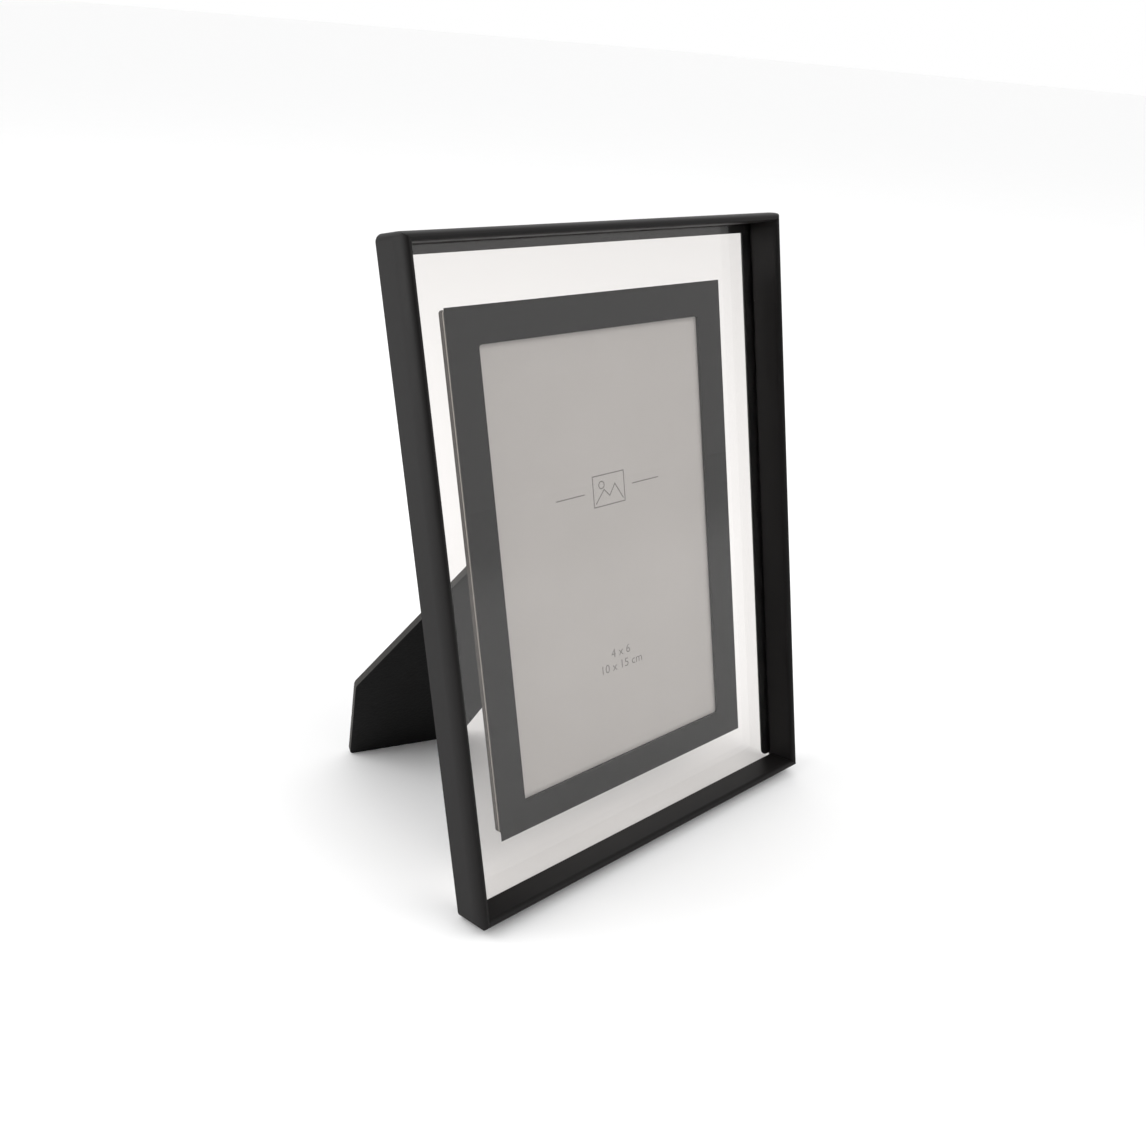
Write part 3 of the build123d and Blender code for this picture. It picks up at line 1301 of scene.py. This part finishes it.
@dataclass
class InsertMark:
    """A plain picture sign between two rules, and the print's size, in very thin raised ink."""

    stance: Stance
    paper_front: float
    line: float = 0.42 * MM
    thick: float = 0.02 * MM
    middle: tuple[float, float] = (1 * MM, 125 * MM)
    picture: tuple[float, float] = (7 * MM, 5.2 * MM)
    sun: tuple[float, float] = (-3.2 * MM, 1.9 * MM)
    sun_radius: float = 1.2 * MM
    hills: tuple[tuple[float, float], ...] = (
        (-6.0 * MM, -4.0 * MM), (-2.2 * MM, 0.2 * MM), (0.2 * MM, -2.2 * MM),
        (2.8 * MM, 1.4 * MM), (6.2 * MM, -4.0 * MM),
    )
    rule: tuple[float, float] = (11 * MM, 23 * MM)
    type_size: float = 4.4 * MM
    sizes: tuple[tuple[str, float], ...] = (("4 x 6", 66.2 * MM), ("10 x 15 cm", 61.4 * MM))
    ink: Paper = Paper("mark ink", (0.30, 0.295, 0.29), (0.27, 0.265, 0.26))

    def stroke(self, start: Sequence[float], stop: Sequence[float]) -> bpy.types.Object:
        """Lay one straight line.

        Args:
            start: Its first end, on the paper, off the sign's middle.
            stop: Its last end.

        Returns:
            The line.
        """
        a, b = Vector((*start, 0)), Vector((*stop, 0))
        run = b - a
        half = (run.length + self.line) / 2
        low = (-half, -self.line / 2, self.paper_front)
        made = Bench.block("stroke", low, (half, self.line / 2, self.paper_front + self.thick))
        made.rotation_euler = (0, 0, math.atan2(run.y, run.x))
        made.location = (a + b) / 2 + Vector((*self.middle, 0))
        Bench.settle(made)
        return made

    def ring(self, offset: Sequence[float], radius: float) -> bpy.types.Object:
        """Lay one thin ring.

        Args:
            offset: Its middle, off the sign's middle.
            radius: Its radius to the middle of the line.

        Returns:
            The ring.
        """
        x, y = (base + step for base, step in zip(self.middle, offset))
        middle = (x, y, self.paper_front + self.thick / 2)
        made = Bench.bar("ring", radius + self.line / 2, self.thick, middle)
        Bench.carve(made, Bench.bar("eye", radius - self.line / 2, 5 * self.thick, middle))
        return made

    def build(self) -> None:
        """Make the whole mark and lay it on the paper."""
        wide, high = self.picture
        corners = ((-wide, -high), (wide, -high), (wide, high), (-wide, high), (-wide, -high))
        pieces = [self.stroke(*ends) for ends in zip(corners, corners[1:])]
        pieces.append(self.ring(self.sun, self.sun_radius))
        pieces += [self.stroke(*ends) for ends in zip(self.hills, self.hills[1:])]
        for side in (-1, 1):
            pieces.append(self.stroke((side * self.rule[0], 0), (side * self.rule[1], 0)))
        height = self.paper_front + self.thick / 2
        for text, low in self.sizes:
            spot = (self.middle[0], low, height)
            pieces.append(Bench.lettering(text, self.type_size, self.thick, spot))
        mark = Bench.merge("insert_mark", pieces)
        Bench.put(mark, self.stance.face)
        Bench.dress(mark, self.ink.build())
        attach(mark, "frame")


# ------------------------------------------------------------------ leg
@dataclass
class EaselLeg:
    """The board leg with two resting edges."""

    stance: Stance
    frame_half_width: float = 77.5 * MM
    lean_on_side: float = 10.7
    half_width: float = 19.5 * MM
    high_taper: float = 2.8
    low_taper: float = 5.6
    start: float = 2.4 * MM
    front: float = -2.0 * MM
    thick: float = 3.0 * MM
    corner_radius: float = 1.2 * MM
    corner_flats: int = 6
    reach: float = 170 * MM
    hole_radius: float = 1.2 * MM
    hole_spots: tuple[tuple[float, float], ...] = ((-11 * MM, 10 * MM), (11 * MM, 10 * MM))
    drill_length: float = 10 * MM
    edge_round: float = 0.25 * MM

    def cut_line(self, point: Vector, normal: Vector) -> tuple[Vector, Vector]:
        """Return the sawing plane where a resting surface meets the leg's front face.

        Args:
            point: A point on the resting surface.
            normal: That surface's upward normal.

        Returns:
            A point on the cut and the direction of the waste, in the leg's own axes.
        """
        plane = self.stance.leg.offset(self.front)
        a, b = normal.dot(plane.x), normal.dot(plane.y)
        scale = normal.dot(point - plane.origin) / (a * a + b * b)
        return Vector((a * scale, b * scale, 0)), Vector((-a, -b, 0))

    def build(self) -> None:
        """Make the leg."""
        wide = 3 * self.half_width
        low, high = (-wide, self.start, self.front), (wide, self.reach, self.front + self.thick)
        leg = Bench.block("leg_shaped", low, high)
        for side, taper in ((-1, self.high_taper), (1, self.low_taper)):
            slope = math.tan(math.radians(taper))
            Bench.slice(leg, (side * self.half_width, 0, 0), (side, -slope, 0))
        Bench.slice(leg, *self.cut_line(Vector((0, 0, 0)), Vector((0, 0, 1))))
        side = math.radians(self.lean_on_side)
        face = self.stance.face
        normal = face.x * math.cos(side) + face.z * math.sin(side)
        Bench.slice(leg, *self.cut_line(face.at(-self.frame_half_width, 0, 0), normal))
        upright = lambda a, b: abs(a.z - b.z) > self.thick / 2
        Bench.round_edges(leg, upright, self.corner_radius, self.corner_flats)
        for spot in self.hole_spots:
            Bench.carve(leg, Bench.bar("hole", self.hole_radius, self.drill_length, (*spot, 0)))
        Bench.soften(leg, self.edge_round, 3)
        Bench.put(leg, self.stance.leg)
        Bench.dress(leg, FacedBoard("leg board").build())
        edge = CutEdge("leg edge", (0.020, 0.019, 0.018), (0.048, 0.045, 0.042)).build()
        Bench.dress_sides(leg, edge, self.stance.leg.z)
        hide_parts("easel_leg")
        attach(leg, "leg")
        LOG.info("leg built")


# ------------------------------------------------------------------ hinge and turn buttons
@dataclass(frozen=True)
class Rivet:
    """The sizes of one kind of round-headed rivet."""

    shank: float
    head: float
    head_thick: float
    dome_share: float = 0.75
    dome_flats: int = 5


@dataclass
class Hardware:
    """The sheet steel hinge, its rivets, and the four turn buttons."""

    stance: Stance
    sheet: float = 0.6 * MM
    knuckle: float = 1.6 * MM
    pin: float = 0.8 * MM
    pin_play: float = 0.05 * MM
    pin_overhang: float = 0.4 * MM
    axis_off: float = 2.5 * MM
    plate_half: float = 19 * MM
    plate_depth: float = 12 * MM
    plate_radius: float = 1.5 * MM
    plate_spots: tuple[tuple[float, float], ...] = ((-12 * MM, -7 * MM), (12 * MM, -7 * MM))
    leaf_half: float = 17 * MM
    leaf_near: float = 3 * MM
    leaf_depth: float = 14 * MM
    leaf_spots: tuple[tuple[float, float], ...] = ((-11 * MM, 10 * MM), (11 * MM, 10 * MM))
    hinge_rivet: Rivet = Rivet(1.2 * MM, 2.4 * MM, 0.7 * MM)
    board_thick: float = 1.6 * MM
    leg_front: float = -2.0 * MM
    drill_length: float = 60 * MM
    corner_flats: int = 8
    middle_half: float = 7 * MM
    gap: float = 0.3 * MM
    heel: float = 4.09 * MM
    pack_back: float = -2.6 * MM
    button_thick: float = 0.5 * MM
    button_width: float = 4.4 * MM
    button_reach: float = 9 * MM
    button_gap: float = 0.15 * MM
    button_hole: float = 1.18 * MM
    button_round: float = 0.98
    button_rivet: Rivet = Rivet(1.1 * MM, 2.2 * MM, 0.6 * MM)
    rim_thick: float = 1.9 * MM
    rib_radius: float = 0.9 * MM
    rib_sides: int = 32
    rib_flatness: float = 0.35

    def finish(
        self,
        piece: bpy.types.Object,
        place: Place,
        node: str,
        body: str,
        slot: str,
        material: bpy.types.Material,
        soft: float,
    ) -> None:
        """Soften, place and dress one metal piece.

        Args:
            piece: The piece.
            place: Its place.
            node: The CAD node it stands for.
            body: The body it moves with.
            slot: Its material slot; not used.
            material: Its finish.
            soft: Width of its broken edges.
        """
        Bench.soften(piece, soft)
        Bench.put(piece, place)
        Bench.dress(piece, material)
        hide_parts(node)
        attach(piece, body)

    def rounded_plate(
        self, name: str, low: Sequence[float], high: Sequence[float], radius: float
    ) -> bpy.types.Object:
        """Make a flat plate with four rounded corners.

        Args:
            name: The piece's name.
            low: Its lowest corner.
            high: Its highest corner.
            radius: The corner radius.

        Returns:
            The plate.
        """
        plate = Bench.block(name, low, high)
        upright = lambda a, b: abs(a.z - b.z) > (high[2] - low[2]) / 2
        Bench.round_edges(plate, upright, radius, self.corner_flats)
        return plate

    def hinge(self, metal: bpy.types.Material) -> None:
        """Make the hinge's plate, leaf and pin.

        Args:
            metal: The finish.
        """
        hinge, leg = self.stance.hinge, self.stance.leg
        rear = self.knuckle - self.sheet
        low = (-self.plate_half, -rear - self.plate_depth, 0)
        high = (self.plate_half, -rear, self.sheet)
        plate = self.rounded_plate("plate_shaped", low, high, self.plate_radius)
        length = self.plate_half - self.middle_half - self.gap
        for side in (-1, 1):
            middle = side * (self.plate_half - length / 2)
            spot = (middle, 0, self.axis_off)
            Bench.carve(plate, Bench.bar("knuckle", self.knuckle, length, spot, Axis.X), join=True)
            low = (middle - length / 2, -self.knuckle, 0)
            high = (middle + length / 2, -self.knuckle + self.sheet, self.axis_off)
            Bench.carve(plate, Bench.block("web", low, high), join=True)
        axis = (0, 0, self.axis_off)
        Bench.carve(plate, Bench.bar("bore", self.pin, self.drill_length, axis, Axis.X))
        self.finish(plate, hinge, "hinge_plate", "frame", "hinge_steel", metal, 0.08 * MM)
        low = (-self.leaf_half, self.leaf_near, rear)
        high = (self.leaf_half, self.leaf_near + self.leaf_depth, self.knuckle)
        leaf = self.rounded_plate("leaf_shaped", low, high, self.plate_radius)
        low = (-self.middle_half, -self.heel, rear)
        high = (self.middle_half, self.leaf_near + self.leaf_depth / 2, self.knuckle)
        Bench.carve(leaf, Bench.block("strap", low, high), join=True)
        wide = 2 * self.middle_half
        Bench.carve(leaf, Bench.bar("knuckle", self.knuckle, wide, (0, 0, 0), Axis.X), join=True)
        bore = self.pin + self.pin_play
        Bench.carve(leaf, Bench.bar("bore", bore, self.drill_length, (0, 0, 0), Axis.X))
        self.finish(leaf, leg, "hinge_leaf", "leg", "hinge_steel", metal, 0.08 * MM)
        length = 2 * (self.plate_half + self.pin_overhang)
        pin = Bench.bar("pin_shaped", self.pin, length, axis, Axis.X)
        self.finish(pin, hinge, "hinge_pin", "frame", "hinge_steel", metal, 0.12 * MM)

    def rivets(
        self,
        name: str,
        node: str,
        body: str,
        place: Place,
        spots: Iterable[Sequence[float]],
        low: float,
        seat: float,
        kind: Rivet,
        metal: bpy.types.Material,
    ) -> None:
        """Make a group of round-headed rivets.

        Args:
            name: The piece's name.
            node: The CAD node it stands for.
            body: The body it moves with.
            place: The plane the rivets stand on.
            spots: Their positions in that plane.
            low: Height of the shanks' far ends.
            seat: Height of the heads' undersides.
            kind: The rivets' sizes.
            metal: The finish.
        """
        made = []
        middle = seat + kind.head_thick / 2
        for x, y in spots:
            rivet = Bench.bar("shank", kind.shank, seat - low, (x, y, (seat + low) / 2))
            cap = Bench.bar("cap", kind.head, kind.head_thick, (x, y, middle))
            dome = kind.head_thick * kind.dome_share
            Bench.round_edges(cap, lambda a, b: min(a.z, b.z) > middle, dome, kind.dome_flats)
            Bench.carve(rivet, cap, join=True)
            made.append(rivet)
        merged = Bench.merge(name, made)
        self.finish(merged, place, node, body, "hinge_steel", metal, 0.04 * MM)

    def buttons(self, metal: bpy.types.Material) -> None:
        """Make the turn buttons, each with a raised thumb rib, and their rivets.

        Args:
            metal: The finish.
        """
        face = self.stance.face
        back = Place(face.at(0, 0, self.pack_back), -face.x, face.y, -face.z)
        pivots = {
            "top": ((20.0, 184.2), -90), "bottom": ((20.0, 24.3), 90),
            "left": ((-54.65, 125.0), 180), "right": ((54.65, 125.0), 0),
        }
        half = self.button_width / 2
        low, high = self.button_gap, self.button_gap + self.button_thick
        for key, ((u, w), turn) in pivots.items():
            button = self.rounded_plate(
                f"button_{key}_shaped",
                (-half, -half, low),
                (self.button_reach + half, half, high),
                half * self.button_round,
            )
            rib = Bench.bar("rib", self.rib_radius, half, (0, 0, 0), Axis.Y, self.rib_sides)
            Bench.stretch(rib, (1, 1, self.rib_flatness), (0, 0, 0))
            rib.location = (self.button_reach, 0, high)
            Bench.settle(rib)
            Bench.carve(button, rib, join=True)
            Bench.carve(button, Bench.bar("hole", self.button_hole, 4 * MM, (0, 0, 0)))
            angle = math.radians(turn)
            place = Place(
                back.at(-u * MM, w * MM, 0),
                back.x * math.cos(angle) + back.y * math.sin(angle),
                back.y * math.cos(angle) - back.x * math.sin(angle),
                back.z,
            )
            node, body = f"turn_button_{key}", f"button_{key}"
            self.finish(button, place, node, body, "button_steel", metal, 0.06 * MM)
        spots = [(-u * MM, w * MM) for (u, w), _ in pivots.values()]
        self.rivets(
            "button_rivets_shaped", "turn_button_rivets", "frame", back, spots,
            -self.rim_thick, high + self.button_gap, self.button_rivet, metal,
        )

    def build(self) -> None:
        """Make all the metal pieces."""
        metal = ZincSheet().build()
        self.hinge(metal)
        self.rivets(
            "plate_rivets_shaped", "plate_rivets", "frame", self.stance.hinge, self.plate_spots,
            -self.board_thick, self.sheet, self.hinge_rivet, metal,
        )
        self.rivets(
            "leaf_rivets_shaped", "leaf_rivets", "leg", self.stance.leg, self.leaf_spots,
            self.leg_front, self.knuckle, self.hinge_rivet, metal,
        )
        self.buttons(metal)
        Bench.dress(frame["nodes"]["corner_v_nails"], metal)
        LOG.info("hardware built")


# ------------------------------------------------------------------ studio
@dataclass(frozen=True)
class Lamp:
    """One square soft lamp: where it hangs, what it looks at, its side and its power in watts."""

    name: str
    at: tuple[float, float, float]
    aim: tuple[float, float, float]
    size: float
    watts: float

    def hang(self) -> None:
        """Put the lamp in the room."""
        bpy.ops.object.light_add(type="AREA", location=self.at)
        lamp = bpy.context.object
        lamp.name = self.name
        lamp.data.size = self.size
        lamp.data.energy = self.watts
        look = Vector(self.aim) - Vector(self.at)
        lamp.rotation_euler = look.to_track_quat("-Z", "Y").to_euler()


@dataclass
class Studio:
    """Pale tabletop, soft white surround, lamps and the camera."""

    camera_at: tuple[float, float, float] = (-0.24205, -0.25784, 0.25640)
    camera_turn: tuple[float, float, float] = (64.0511, -4.5460, -40.8779)
    lens: float = 34.815
    sensor: float = 36.0
    nearest: float = 0.01
    surround: float = 1.0
    table_size: float = 60.0
    flag_at: tuple[float, float, float] = (-0.62, -0.66, 0.55)
    flag_size: tuple[float, float, float] = (1.1, 1.1, 1.0)
    flag_look: tuple[float, float, float] = (0.62, 0.66, -0.2)
    flag_cloth: Paper = Paper("flag cloth", (0.02, 0.02, 0.02), (0.012, 0.012, 0.012), 0.9)
    lamps: tuple[Lamp, ...] = (
        Lamp("key", (0.5, -0.9, 1.3), (0, 0, 0.10), 1.0, 7.0),
        Lamp("rim", (-1.0, 0.6, 1.0), (0, 0, 0.10), 1.0, 8.0),
        Lamp("side", (-0.85, 0.40, 0.10), (-0.08, 0, 0.04), 0.3, 2.4),
    )

    def tabletop(self) -> None:
        """Lay the tabletop."""
        bpy.ops.mesh.primitive_plane_add(size=self.table_size, location=(0, 0, 0))
        floor = bpy.context.object
        floor.name = "tabletop"
        Bench.settle(floor)
        Bench.dress(floor, Tabletop().build())

    def flag(self) -> None:
        """Hang a dark cloth that shows only in the pane and the gloss."""
        bpy.ops.mesh.primitive_plane_add(size=1.0, location=self.flag_at, scale=self.flag_size)
        flag = bpy.context.object
        flag.name = "dark flag"
        flag.visible_camera = False
        flag.rotation_euler = Vector(self.flag_look).to_track_quat("Z", "Y").to_euler()
        Bench.settle(flag)
        Bench.dress(flag, self.flag_cloth.build())

    def sky(self) -> None:
        """Light the room evenly from all round."""
        world = bpy.data.worlds.new("surround")
        bpy.context.scene.world = world
        world.use_nodes = True
        glow = world.node_tree.nodes["Background"]
        glow.inputs["Color"].default_value = (1.0, 1.0, 1.0, 1.0)
        glow.inputs["Strength"].default_value = self.surround

    def camera(self) -> None:
        """Set the camera up."""
        data = bpy.data.cameras.new("camera")
        camera = bpy.data.objects.new("camera", data)
        bpy.context.scene.collection.objects.link(camera)
        camera.location = self.camera_at
        camera.rotation_euler = [math.radians(angle) for angle in self.camera_turn]
        data.lens = self.lens
        data.sensor_width = self.sensor
        data.clip_start = self.nearest
        bpy.context.scene.camera = camera
        bpy.context.scene.view_settings.view_transform = "Standard"

    def build(self) -> None:
        """Set the room up."""
        self.tabletop()
        self.flag()
        self.sky()
        for lamp in self.lamps:
            lamp.hang()
        self.camera()
        LOG.info("studio built")


def main() -> None:
    """Build every assembly, then the studio."""
    logging.basicConfig(level=logging.INFO, format="%(name)s: %(message)s")
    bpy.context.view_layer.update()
    sizes = (Moulding.depth, Moulding.outer_drop, Hardware.axis_off)
    stance = Stance.read(frame["record"], *sizes)
    Moulding(stance).build()
    PrintPack(stance).build()
    EaselLeg(stance).build()
    Hardware(stance).build()
    Studio().build()


if __name__ == "__main__":
    main()
